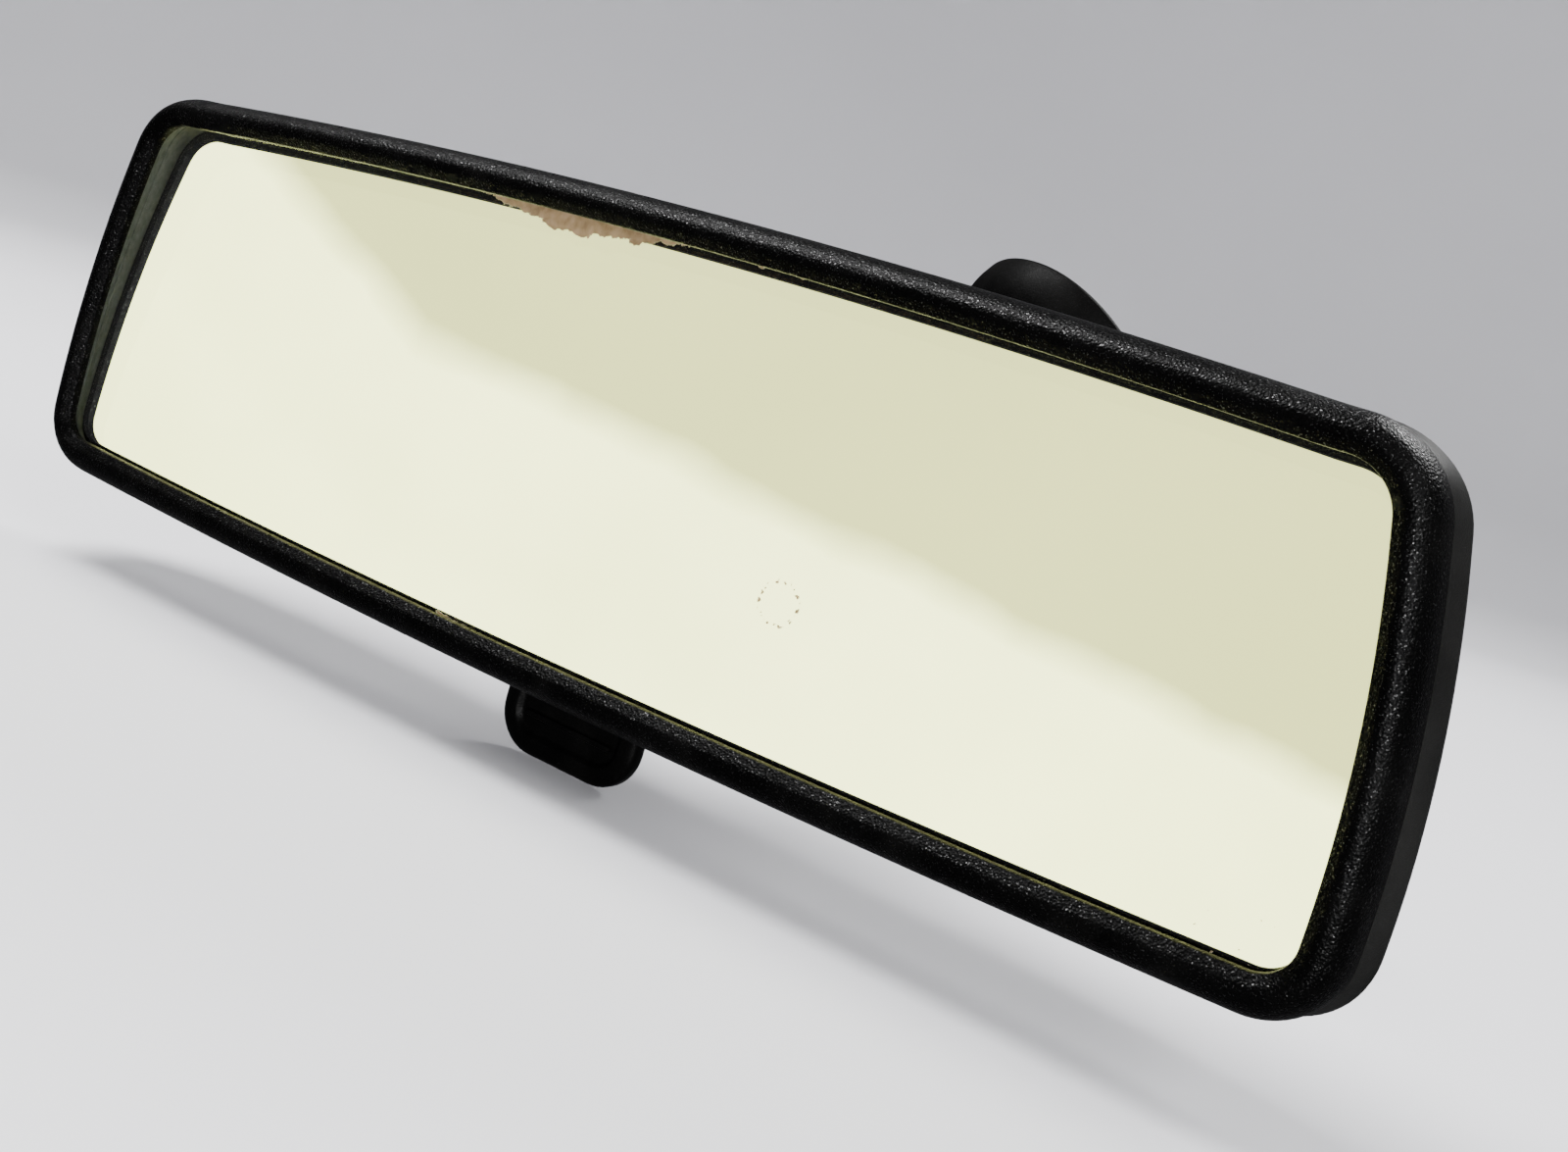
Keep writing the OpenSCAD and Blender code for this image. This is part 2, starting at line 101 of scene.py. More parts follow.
# ---- Meshes ----
def mesh_object(name, verts, faces, matrix, sharp=40):
    """Mesh from millimetre points, smooth except at edges sharper than the angle."""
    mesh = bpy.data.meshes.new(name)
    mesh.from_pydata([Vector(v) * MM for v in verts], [], faces)
    shape = bmesh.new()
    shape.from_mesh(mesh)
    bmesh.ops.recalc_face_normals(shape, faces=shape.faces)
    shape.to_mesh(mesh)
    shape.free()
    mesh.shade_smooth()
    mesh.set_sharp_from_angle(angle=math.radians(sharp))
    obj = bpy.data.objects.new(name, mesh)
    bpy.context.scene.collection.objects.link(obj)
    obj.matrix_world = matrix
    return obj


def strips(rings, closed):
    """Quads between neighbouring rings, and from the last to the first if closed."""
    n = len(rings[0])
    count = len(rings)
    faces = []
    for j in range(count if closed else count - 1):
        a, b = j * n, (j + 1) % count * n
        faces += [(a + i, a + (i + 1) % n, b + (i + 1) % n, b + i) for i in range(n)]
    return faces


def loft(name, rings, matrix, closed=False, sharp=40):
    """Skin over rings of equal length. Open lofts are capped with a fan at each end."""
    verts = [v for ring in rings for v in ring]
    faces = strips(rings, closed)
    if not closed:
        n, last = len(rings[0]), (len(rings) - 1) * len(rings[0])
        for ring, first, turned in ((rings[0], 0, True), (rings[-1], last, False)):
            middle = len(verts)
            verts.append(sum((Vector(v) for v in ring), Vector()) / n)
            for i in range(n):
                pair = (first + i, first + (i + 1) % n)
                faces.append((middle, *(reversed(pair) if turned else pair)))
    return mesh_object(name, verts, faces, matrix, sharp)


def lathe(name, profile, matrix, steps=128, closed=True, sharp=30):
    """Profile of (radius, z) turned about local Z."""
    turns = [2 * math.pi * i / steps for i in range(steps)]
    rings = [[(r * math.cos(a), r * math.sin(a), z) for a in turns] for r, z in profile]
    return loft(name, rings, matrix, closed, sharp)


def cut(obj, *cutters):
    """Takes each cutter's volume out of obj, then drops the cutters."""
    for cutter in cutters:
        mod = obj.modifiers.new("cut", "BOOLEAN")
        mod.operation, mod.solver, mod.object = "DIFFERENCE", "EXACT", cutter
    bpy.context.view_layer.update()
    graph = bpy.context.evaluated_depsgraph_get()
    shape = bpy.data.meshes.new_from_object(obj.evaluated_get(graph))
    obj.modifiers.clear()
    obj.data = shape
    for cutter in cutters:
        bpy.data.objects.remove(cutter)
    shape.shade_smooth()
    shape.set_sharp_from_angle(angle=math.radians(35))


def settle(obj):
    """Bakes the object's placement into its mesh."""
    bpy.context.view_layer.update()
    obj.data.transform(obj.matrix_world)
    obj.matrix_world = Matrix.Identity(4)
    return obj


def join(name, *objs):
    """One piece from several, in the first one's frame."""
    with bpy.context.temp_override(active_object=objs[0], selected_editable_objects=list(objs)):
        bpy.ops.object.join()
    objs[0].name = name
    return objs[0]


# ---- Outline of the glass opening ----
def top_edge(x):
    return OPEN_H / 2 + TOP_BOW * (1 - (x / OPEN_TOP) ** 2)


def bottom_edge(x):
    return -OPEN_H / 2 - BOTTOM_BOW * (1 - (x / OPEN_BOTTOM) ** 2)


def end_edge(z):
    u = 2 * z / OPEN_H
    return (OPEN_TOP + OPEN_BOTTOM) / 2 + (OPEN_TOP - OPEN_BOTTOM) / 2 * u + END_BOW * (1 - u * u)


def top_normal(x):
    return math.pi / 2 - math.atan(2 * TOP_BOW * x / OPEN_TOP**2)


def bottom_normal(x):
    return math.atan(2 * BOTTOM_BOW * x / OPEN_BOTTOM**2) - math.pi / 2


def end_normal(z):
    return -math.atan((OPEN_TOP - OPEN_BOTTOM - 8 * END_BOW * z / OPEN_H) / OPEN_H)


def corner_at(z, r):
    return end_edge(z) - r / math.cos(end_normal(z)), z


def arc(at, r, start, stop, steps):
    angles = [start + (stop - start) * i / steps for i in range(steps + 1)]
    return [(at[0] + r * math.cos(a), at[1] + r * math.sin(a), a) for a in angles]


def opening_loop(edge_steps=36, arc_steps=14, end_steps=18):
    """Points (x, z, angle of the outward normal) around the opening, from the top's middle."""
    top = corner_at(top_edge(OPEN_TOP - TOP_R) - TOP_R, TOP_R)
    low = corner_at(bottom_edge(OPEN_BOTTOM - BOTTOM_R) + BOTTOM_R, BOTTOM_R)
    xs = [top[0] * i / edge_steps for i in range(edge_steps)]
    half = [(x, top_edge(x), top_normal(x)) for x in xs]
    half += arc(top, TOP_R, top_normal(top[0]), end_normal(top[1]), arc_steps)
    zs = [top[1] + (low[1] - top[1]) * i / end_steps for i in range(1, end_steps)]
    half += [(end_edge(z), z, end_normal(z)) for z in zs]
    half += arc(low, BOTTOM_R, end_normal(low[1]), bottom_normal(low[0]), arc_steps)
    xs = [low[0] * i / edge_steps for i in range(edge_steps - 1, -1, -1)]
    half += [(x, bottom_edge(x), bottom_normal(x)) for x in xs]
    return half + [(-x, z, math.pi - a) for x, z, a in reversed(half[1:-1])]


LOOP = opening_loop()


def ring_at(y, outset, drop=0.0, scale=1.0, flare=0.0):
    """The opening's loop at an outset and a depth, with a flare that grows towards the ends."""
    ring = []
    for x, z, a in LOOP:
        wide = flare * math.copysign((abs(x) / OPEN_BOTTOM) ** 4, x)
        across = (x + outset * math.cos(a)) * scale + wide
        ring.append((across, y, (z + outset * math.sin(a)) * scale - drop))
    return ring


# ---- Head ----
def make_bezel():
    """Rounded skin from the joint to the crest, the eased lip, the rebate and the tongue."""
    skin = []
    for step in range(25):
        t = math.radians(90 * step / 24)
        y = JOINT_Y - (JOINT_Y + BEZEL_PROUD) * math.sin(t)
        skin.append((y, CREST + (BEZEL_W - CREST) * math.cos(t), BEZEL_DROP * math.cos(t)))
    lip = [
        (-1.24, 1.72, 0), (-1.05, 1.38, 0), (-0.75, 1.02, 0), (-0.35, 0.52, 0), (-0.1, 0.22, 0),
        (0.03, 0.07, 0), (0.2, 0.0, 0), (0.8, 0.0, 0), (GLASS_Y - 0.02, 0.0, 0),
        (GLASS_Y - 0.02, 2.0, 0), (8.5, 2.0, 0), (8.5, 3.1, 0), (5.95, 3.1, 0),
        (JOINT_Y + 0.02, 5.0, 0.35), (JOINT_Y + 0.02, 5.9, BEZEL_DROP),
    ]
    rings = [ring_at(y, outset, drop) for y, outset, drop in skin + lip]
    return loft("bezel_visual", rings, IN_HEAD, closed=True, sharp=50)


def shell_rings(inset, steps):
    """Rings of the shell from its rim to its nearly flat back, an inset inside the outer face."""
    rings = []
    for i in range(steps + 1):
        a = math.radians(84 * i / steps)
        depth = math.sin(a) ** (2 / SHELL_POWER)
        scale = math.cos(a) ** (2 / SHELL_POWER)
        y = SHELL_Y + (HEAD_DEPTH - SHELL_Y - inset) * depth
        flare = SHELL_FLARE * math.sin(math.pi * math.sqrt(depth))
        rings.append(ring_at(y, BEZEL_W - inset, BEZEL_DROP, scale, flare))
    return rings


def make_shell():
    """Pillow-shaped shell with the ball joint's opening and the lever's slot."""
    outer, inner = shell_rings(0, 40), shell_rings(WALL, 24)
    rim = [
        ring_at(SHELL_Y, BEZEL_W - 0.55, BEZEL_DROP),
        ring_at(SHELL_Y + 0.12, BEZEL_W - 0.16, BEZEL_DROP),
    ]
    rings = list(reversed(outer[1:])) + list(reversed(rim)) + inner
    shell = loft("rear_shell_visual", rings, IN_HEAD, sharp=60)
    cut(shell, ball_opening(), lever_slot())
    return shell


def ball_opening():
    """Cutter for the round opening around the ball, which eases the opening's edge."""
    at = IN_HEAD @ Matrix.Translation(Vector((0, HEAD_DEPTH + 6, BALL_Z)) * MM)
    at = at @ Matrix.Rotation(math.radians(90), 4, "X")
    r = SOCKET_HOLE_R
    profile = [(r, 26), (r, 6.6), (r + 0.25, 6.15), (r + 0.8, 5.9), (30, 5.7), (30, 0)]
    return lathe("hole", profile, at, closed=False)


def lever_slot():
    """Cutter for the slot that the lever swings in."""
    half, near, far, r = LEVER_W / 2 + 0.8, 9.4, LEVER_Y + 4, 1.5
    corners = [
        (half - r, near + r, -90), (half - r, far - r, 0),
        (r - half, far - r, 90), (r - half, near + r, 180),
    ]
    turns = [(x, y, math.radians(start + b)) for x, y, start in corners for b in range(0, 91, 15)]
    outline = [(x + r * math.cos(a), y + r * math.sin(a)) for x, y, a in turns]
    low, high = -50, LEVER_Z - 3.4
    return loft("slot", [[(x, y, z) for x, y in outline] for z in (low, high)], IN_HEAD)


def wedge_y(z):
    """Depth of the glass's silvered face at that height."""
    lean = (GLASS_THICK - GLASS_THIN) / (OPEN_H + 8)
    return GLASS_Y + (GLASS_THICK + GLASS_THIN) / 2 + z * lean


def make_glass():
    """Wedge of glass with eased edges; its back face is the silvered one."""
    rings = [ring_at(GLASS_Y + y, GLASS_LAP - ease) for y, ease in ((0.01, 0.5), (0.12, 0.15), (0.35, 0))]
    rings.append([(x, wedge_y(z) - 0.2, z) for x, _, z in ring_at(0, GLASS_LAP)])
    rings.append([(x, wedge_y(z), z) for x, _, z in ring_at(0, GLASS_LAP - 0.2)])
    glass = loft("prism_glass_visual", rings, IN_HEAD, sharp=10)
    for face in glass.data.polygons:
        middle = face.center / MM
        silvered = abs(middle.y - wedge_y(middle.z)) < 0.05
        face.material_index = 1 if silvered else 2 if middle.y > GLASS_Y + 0.2 else 0
    return glass


# ---- Lever ----
def tab_ring(y, margin, bottom_r=7.5):
    """Outline of the lever's tab, drawn in by a margin."""
    half, low, high = LEVER_W / 2 - margin, LEVER_Z - LEVER_REACH + margin, LEVER_Z - margin
    r, s = max(bottom_r - margin, 0.5), max(1.2 - margin * 0.5, 0.2)
    corners = [
        (half - s, high - s, s, 90), (half - r, low + r, r, 0),
        (r - half, low + r, r, -90), (s - half, high - s, s, 180),
    ]
    ring = []
    for x, z, radius, start in corners:
        for step in range(13):
            a = math.radians(start - 7.5 * step)
            ring.append((x + radius * math.cos(a), y, z + radius * math.sin(a)))
    return ring


def bar(name, x0, x1, y0, y1, z0, z1, r, matrix):
    """Box whose long edges are rounded, drawn from its outline in X and Z."""
    corners = ((x1 - r, z1 - r, 90), (x1 - r, z0 + r, 0), (x0 + r, z0 + r, -90), (x0 + r, z1 - r, 180))
    ring = []
    for x, z, start in corners:
        ring += [(x, z, math.radians(start - 15 * step)) for step in range(7)]
    rings = []
    for y, reach in ((y1, r), (y0 + 0.35, r), (y0 + 0.1, r - 0.1), (y0, r - 0.35)):
        rings.append([(x + reach * math.cos(a), y, z + reach * math.sin(a)) for x, z, a in ring])
    rings.reverse()
    return loft(name, rings, matrix, sharp=45)


def rod_x(name, r, y, z, x0, x1):
    """Rod along X in the head, with eased ends."""
    at = IN_HEAD @ Matrix.Translation(Vector((x0, y, z)) * MM)
    at = at @ Matrix.Rotation(math.radians(90), 4, "Y")
    profile = [(r - 0.3, 0), (r, 0.3), (r, x1 - x0 - 0.3), (r - 0.3, x1 - x0)]
    return lathe(name, profile, at, steps=48, closed=False)


def make_lever():
    """Tab with a raised rim, a sunk pad and a rib, on its hub with two crank cheeks."""
    front, back = LEVER_Y - 2, LEVER_Y + 1.4
    profile = [
        (front + 1.0, 4.4), (front + 0.97, 4.0), (front + 0.75, 3.7), (front + 0.3, 3.35),
        (front + 0.08, 3.05), (front, 2.6), (front + 0.02, 1.7), (front + 0.16, 1.0),
        (front + 0.45, 0.42), (front + 0.85, 0.1), (front + 1.3, 0.0), (back - 0.8, 0.0),
        (back - 0.3, 0.15), (back - 0.06, 0.5), (back, 1.0),
    ]
    tab = loft("tab", [tab_ring(y, margin) for y, margin in profile], IN_HEAD, sharp=50)
    rib_z = LEVER_Z - 15.1
    rib = bar("rib", -9, 9, front + 0.2, front + 1.3, rib_z - 0.5, rib_z + 0.5, 0.45, IN_HEAD)
    parts = [rib, rod_x("hub", 2.88, LEVER_Y, LEVER_Z, -14.6, 14.6)]
    for side in (-1, 1):
        x = side * 8.6
        a = math.radians(LEVER_THROW / 2)
        y, z = LEVER_Y - CRANK_R * math.sin(a), LEVER_Z + CRANK_R * math.cos(a)
        parts.append(rod_x("eye", 2.5, y, z, x - 1.5, x + 1.5))
        cheek = bar("cheek", x - 1.5, x + 1.5, -2.3, 2.3, 0, CRANK_R, 0.5, IN_HEAD)
        cheek.matrix_world = IN_HEAD @ Matrix.Translation(Vector((0, LEVER_Y, LEVER_Z)) * MM)
        cheek.matrix_world = cheek.matrix_world @ Matrix.Rotation(a, 4, "X")
        parts.append(cheek)
    return join("day_night_lever_visual", tab, *parts)


# ---- Arm and foot ----
def make_arm():
    """Tapered arm with a smooth elbow, bored for the ball stud, ending in the foot's boss."""
    ahead, out = heading(ARM_RISE), heading(FOOT_RISE)
    start, bend = BALL_AT + ahead * ARM_START, BALL_AT + ahead * (ARM_LEN - 13)
    stop = -out * (DOME_DEPTH + 0.5)
    path = [(start + (bend - start) * i / 12) for i in range(12)]
    for i in range(25):
        t = i / 24
        path.append(bend * (1 - t) ** 2 + ELBOW_AT * 2 * t * (1 - t) + stop * t**2)
    side = ahead.cross(out).normalized()

    def section(at, tangent, radius, steps=72):
        other = side.cross(tangent)
        turns = [2 * math.pi * i / steps for i in range(steps)]
        return [at + (side * math.cos(a) + other * math.sin(a)) * radius for a in turns]

    bore = [(33, 3.85), (ARM_START + 0.4, 3.85), (ARM_START, 4.2), (ARM_START, ARM_R - 0.8)]
    rings = [section(BALL_AT + ahead * s, ahead, r) for s, r in bore]
    rings.append(section(BALL_AT + ahead * (ARM_START + 0.25), ahead, ARM_R - 0.22))
    for n, at in enumerate(path[1:], 1):
        before, after = path[n - 1], path[min(n + 1, len(path) - 1)]
        radius = ARM_R + (ELBOW_R - ARM_R) * min(n / 20, 1)
        rings.append(section(at, (after - before).normalized(), radius))
    rings += [section(-out * (DOME_DEPTH + 0.02), out, ELBOW_R - 0.25)]
    rings += [section(-out * s, out, 6) for s in (DOME_DEPTH + 0.02, 11.55)]
    arm = loft("arm_visual", rings, Matrix.Identity(4), sharp=45)
    pin_at = along(ARM_RISE, BALL_AT) @ Matrix.Translation(Vector((-12, 0, 24)) * MM)
    pin_at = pin_at @ Matrix.Rotation(math.radians(90), 4, "Y")
    cut(arm, lathe("pin_hole", [(1.02, 0), (1.02, 24)], pin_at, steps=32, closed=False))
    return arm


def make_foot():
    """Domed foot with the gasket's groove, the button's pocket and the screw's seat."""
    inner, skirt = ELBOW_R + 0.6, 2.6
    turns = [math.radians(90 * i / 24) for i in range(25)]
    dome = [
        (inner + (FOOT_R - inner) * math.cos(a), -skirt - (DOME_DEPTH - skirt) * math.sin(a))
        for a in turns
    ]
    rim = [(19.4, -0.02), (20.15, -0.04), (20.45, -0.3), (20.75, -0.62), (20.93, -0.85), (FOOT_R, -1.1)]
    profile = rim + dome
    profile += [
        (9.9, -15.0), (6.4, -15), (6.02, -14.6), (6.02, -11.4), (2.3, -11.4), (2.3, -10.4), (4.1, -10.4),
        (4.1, -7.2), (4.3, -7.0), (12.0, -7), (12, -5.1), (12.1, -5), (13.0, -5), (13.0, -0.3),
        (13.3, 0), (16.0, 0), (16.2, -0.2), (16.2, -1.5), (19.0, -1.5), (19.0, -0.2),
    ]
    return settle(lathe("mount_foot_visual", profile, along(FOOT_RISE, Vector()), steps=160))


# ---- Materials ----
DUST = 0.006


class Look:
    """A material's node tree, built up one layer at a time in object coordinates."""

    def __init__(self, name):
        self.mat = bpy.data.materials.new(name)
        self.mat.use_nodes = True
        self.tree = self.mat.node_tree
        self.shader = self.tree.nodes["Principled BSDF"]
        self.coords = self.node("ShaderNodeTexCoord").outputs["Object"]

    def node(self, kind, **inputs):
        made = self.tree.nodes.new(kind)
        for key, value in inputs.items():
            self.feed(made.inputs[key.replace("_", " ")], value)
        return made

    def feed(self, socket, value):
        if isinstance(value, bpy.types.NodeSocket):
            self.tree.links.new(value, socket)
        else:
            socket.default_value = value

    def noise(self, scale, detail=4.0, stretch=(1, 1, 1)):
        place = self.node("ShaderNodeMapping", Vector=self.coords, Scale=stretch)
        tex = self.node("ShaderNodeTexNoise", Vector=place.outputs[0], Scale=scale, Detail=detail)
        return tex.outputs["Fac"]

    def cells(self, scale):
        return self.node("ShaderNodeTexVoronoi", Vector=self.coords, Scale=scale).outputs["Distance"]

    def steps(self, fac, low, high, a=0.0, b=1.0):
        """Maps fac from low..high to a..b, clamped."""
        made = self.node("ShaderNodeMapRange", Value=fac)
        for key, value in (("From Min", low), ("From Max", high), ("To Min", a), ("To Max", b)):
            made.inputs[key].default_value = value
        return made.outputs[0]

    def math(self, how, a, b=0.0):
        made = self.node("ShaderNodeMath")
        made.operation = how
        self.feed(made.inputs[0], a)
        self.feed(made.inputs[1], b)
        return made.outputs[0]

    def mix(self, fac, a, b):
        made = self.node("ShaderNodeMix")
        made.data_type = "RGBA"
        self.feed(made.inputs[0], fac)
        for socket, colour in ((made.inputs[6], a), (made.inputs[7], b)):
            self.feed(socket, colour if isinstance(colour, bpy.types.NodeSocket) else (*colour, 1))
        return made.outputs[2]

    def bump(self, height, strength, distance, normal=None):
        made = self.node("ShaderNodeBump", Height=height, Strength=strength, Distance=distance * MM)
        if normal:
            self.feed(made.inputs["Normal"], normal)
        return made.outputs[0]

    def finish(self, **inputs):
        for key, value in inputs.items():
            self.feed(self.shader.inputs[key.replace("_", " ")], value)
        return self.mat


def moulded(name, dark, light, rough, grain, depth, shine=0.04, glint=0.06):
    """Moulded plastic: mottled colour, grain with brighter peaks, uneven gloss, a little dust."""
    look = Look(name)
    cloud = look.noise(60, 5)
    colour = look.mix(look.steps(cloud, 0.35, 0.7), dark, light)
    specks = look.steps(look.noise(2600, 2), 0.7, 0.78)
    film = look.math("MULTIPLY", look.steps(look.noise(130, 6), 0.5, 0.75), DUST)
    dirt = look.math("MAXIMUM", look.math("MULTIPLY", specks, 2 * DUST), film)
    colour = look.mix(dirt, colour, (0.2, 0.195, 0.18))
    cells = look.bump(look.cells(grain), 1.0, depth)
    fine = look.bump(look.noise(grain * 1.9, 3), 0.7, depth * 0.8, cells)
    wave = look.bump(look.noise(45, 2), 0.25, 0.25, fine)
    gloss = look.steps(look.noise(240, 5), 0.3, 0.7, rough - 0.06, rough + 0.07)
    peaks = look.steps(look.noise(grain * 1.3, 1), 0.62, 0.72, shine, glint)
    return look.finish(Base_Color=colour, Roughness=gloss, Normal=wave, Specular_IOR_Level=peaks)


def metal(name, dark, light, rough, stretch=(1, 1, 1)):
    """Steel: fine drawn or tumbled marks, stains and uneven gloss."""
    look = Look(name)
    colour = look.mix(look.steps(look.noise(180, 6), 0.35, 0.7), dark, light)
    marks = look.noise(1500, 4, stretch)
    gloss = look.steps(marks, 0.3, 0.75, rough - 0.08, rough + 0.12)
    normal = look.bump(marks, 0.25, 0.02, look.bump(look.noise(300, 3), 0.2, 0.04))
    return look.finish(Base_Color=colour, Metallic=1.0, Roughness=gloss, Normal=normal)


def soft(name, dark, light, rough, scale, depth):
    """Rubber, foam or nylon: pores in the surface and a clouded colour."""
    look = Look(name)
    colour = look.mix(look.steps(look.noise(220, 5), 0.3, 0.7), dark, light)
    pores = look.bump(look.cells(scale), 0.8, depth, look.bump(look.noise(scale * 0.4, 4), 0.4, depth))
    gloss = look.steps(look.noise(400, 4), 0.3, 0.7, rough - 0.08, rough + 0.08)
    return look.finish(Base_Color=colour, Roughness=gloss, Normal=pores)


def clear_glass():
    """Faintly green clear glass with a thin film on it."""
    look = Look("prism_glass_clear")
    film = look.steps(look.noise(70, 6), 0.45, 0.8, 0.0, 0.02)
    tint = look.mix(look.steps(look.noise(25, 2), 0.3, 0.7), (0.93, 0.97, 0.94), (0.95, 0.985, 0.955))
    return look.finish(Base_Color=tint, Roughness=film, IOR=1.52, Transmission_Weight=1.0)


def ground_edge():
    """Seamed edge of the glass, ground to a matt grey-green."""
    look = Look("prism_glass_edge")
    colour = look.mix(look.steps(look.noise(900, 5), 0.3, 0.7), (0.02, 0.024, 0.024), (0.05, 0.056, 0.055))
    normal = look.bump(look.noise(2600, 4), 0.5, 0.04)
    gloss = look.steps(look.noise(600, 3), 0.3, 0.7, 0.45, 0.65)
    return look.finish(Base_Color=colour, Roughness=gloss, Normal=normal)


def near(look, value, middle, reach, ragged):
    """1 within that many millimetres of the middle, with a ragged edge."""
    away = look.math("ABSOLUTE", look.math("SUBTRACT", value, middle * MM))
    return look.steps(look.math("ADD", away, ragged), reach * MM, (reach + 0.5) * MM, 1.0, 0.0)


def flaked(look, x, z):
    """1 where the coat is gone: a flake at the top edge, a sliver and specks low down."""
    coarse = look.math("MULTIPLY", look.math("SUBTRACT", look.noise(260, 3), 0.5), 3 * MM)
    fine = look.math("MULTIPLY", look.math("SUBTRACT", look.noise(1300, 3), 0.5), 1.4 * MM)
    ragged = look.math("ADD", coarse, fine)
    wide = look.math("ABSOLUTE", look.math("SUBTRACT", x, -17 * MM))
    edge = look.steps(wide, 2 * MM, 22 * MM, 31.2 * MM, 34.2 * MM)
    flake = look.steps(look.math("SUBTRACT", look.math("ADD", z, ragged), edge), 0.0, 0.15 * MM)
    sliver = look.math("MULTIPLY", near(look, x, -18.5, 3.0, ragged), near(look, z, -34.0, 1.0, ragged))
    patch = look.math("MULTIPLY", near(look, x, 112.0, 7.0, ragged), near(look, z, -29.0, 4.5, ragged))
    specks = look.math("MULTIPLY", look.steps(look.noise(900, 2), 0.7, 0.72), patch)
    return look.math("MAXIMUM", flake, look.math("MAXIMUM", sliver, specks))


def pitted(look, x, z):
    """1 in the small pits around a circle right of the middle."""
    across = look.math("SUBTRACT", x, 37.5 * MM)
    above = look.math("SUBTRACT", z, -11 * MM)
    squares = look.math("ADD", look.math("MULTIPLY", across, across), look.math("MULTIPLY", above, above))
    off_ring = look.math("ABSOLUTE", look.math("SUBTRACT", look.math("SQRT", squares), 3.2 * MM))
    circle = look.steps(off_ring, 0.1 * MM, 0.4 * MM, 1.0, 0.0)
    return look.math("MULTIPLY", circle, look.steps(look.noise(1500, 1), 0.58, 0.64))


def silvering():
    """Silvered back face, which shows the brown paint behind it where the coat is gone."""
    look = Look("prism_glass_silvered")
    place = look.node("ShaderNodeSeparateXYZ", Vector=look.coords)
    x, z = place.outputs[0], place.outputs[2]
    bare = look.math("MAXIMUM", flaked(look, x, z), pitted(look, x, z))
    paint = look.mix(look.steps(look.noise(700, 5), 0.35, 0.65), (0.24, 0.14, 0.12), (0.42, 0.27, 0.235))
    silver = look.mix(look.steps(look.noise(22, 4), 0.3, 0.75), (0.93, 0.94, 0.86), (0.96, 0.965, 0.9))
    gloss = look.steps(bare, 0.0, 1.0, 0.0, 0.6)
    colour = look.mix(bare, silver, paint)
    return look.finish(Base_Color=colour, Metallic=look.math("SUBTRACT", 1.0, bare), Roughness=gloss)


def grey(value):
    return value, value, value


def make_looks():
    """One look for each slot of the record, by slot name."""
    plastics = {
        "bezel_plastic": (grey(0.0006), grey(0.0012), 0.3, 2600, 0.08, 0.03, 0.5),
        "shell_plastic": ((0.005, 0.005, 0.0048), (0.009, 0.009, 0.0086), 0.42, 4200, 0.015),
        "lever_plastic": (grey(0.0006), (0.0016, 0.0016, 0.0015), 0.36, 3600, 0.025),
        "arm_plastic": (grey(0.0008), (0.002, 0.002, 0.0019), 0.4, 3200, 0.03),
        "foot_plastic": (grey(0.0008), (0.002, 0.002, 0.0019), 0.48, 3200, 0.03, 0.02),
        "inner_plastic": ((0.03, 0.03, 0.032), (0.055, 0.054, 0.052), 0.5, 3000, 0.04),
    }
    softs = {
        "silver_coat": ((0.16, 0.1, 0.085), (0.3, 0.2, 0.17), 0.5, 1500, 0.02),
        "foam": ((0.03, 0.03, 0.033), (0.07, 0.07, 0.075), 0.85, 1400, 0.25),
        "rubber": ((0.015, 0.015, 0.015), (0.035, 0.034, 0.033), 0.7, 2600, 0.05),
        "seat_nylon": ((0.7, 0.67, 0.58), (0.82, 0.8, 0.72), 0.4, 2200, 0.02),
    }
    metals = {
        "zinc_steel": ((0.5, 0.49, 0.44), (0.68, 0.67, 0.62), 0.34),
        "ground_steel": ((0.5, 0.5, 0.51), (0.66, 0.66, 0.67), 0.26, (1, 8, 8)),
        "spring_steel": ((0.36, 0.34, 0.3), (0.56, 0.54, 0.49), 0.3, (6, 1, 1)),
        "ball_steel": ((0.52, 0.52, 0.54), (0.68, 0.68, 0.7), 0.22),
    }
    looks = {}
    for kind, rows in ((moulded, plastics), (soft, softs), (metal, metals)):
        for name, values in rows.items():
            looks[name] = kind(name, *values)
    return looks


# ---- Pieces and what they ride ----
SHOWN_NODES = {
    "foam": ["glass_foam_pad"],
    "silver_coat": ["silver_coat"],
    "inner_plastic": ["inner_frame", "toggle_bracket"],
    "zinc_steel": [
        "frame_screws", "socket_retainer", "retainer_screws", "stud_spring_pin", "arm_screw", "clip_rivets",
    ],
    "ground_steel": ["tilt_hinge_rod", "lever_pivot_pin", "lever_drive_pin"],
    "spring_steel": ["lever_detent_spring", "clamp_spring_washer", "button_clip"],
    "rubber": ["day_stop_pads", "night_stop_pad", "foot_gasket"],
    "seat_nylon": ["ball_seat_ring", "ball_seat_cup"],
    "ball_steel": ["ball_stud"],
}


def dress(obj, *looks):
    """Gives obj its materials, in slot order, and keeps each face's slot."""
    slots = [face.material_index for face in obj.data.polygons]
    obj.data.materials.clear()
    for look in looks:
        obj.data.materials.append(look)
    obj.data.polygons.foreach_set("material_index", [min(i, len(looks) - 1) for i in slots])


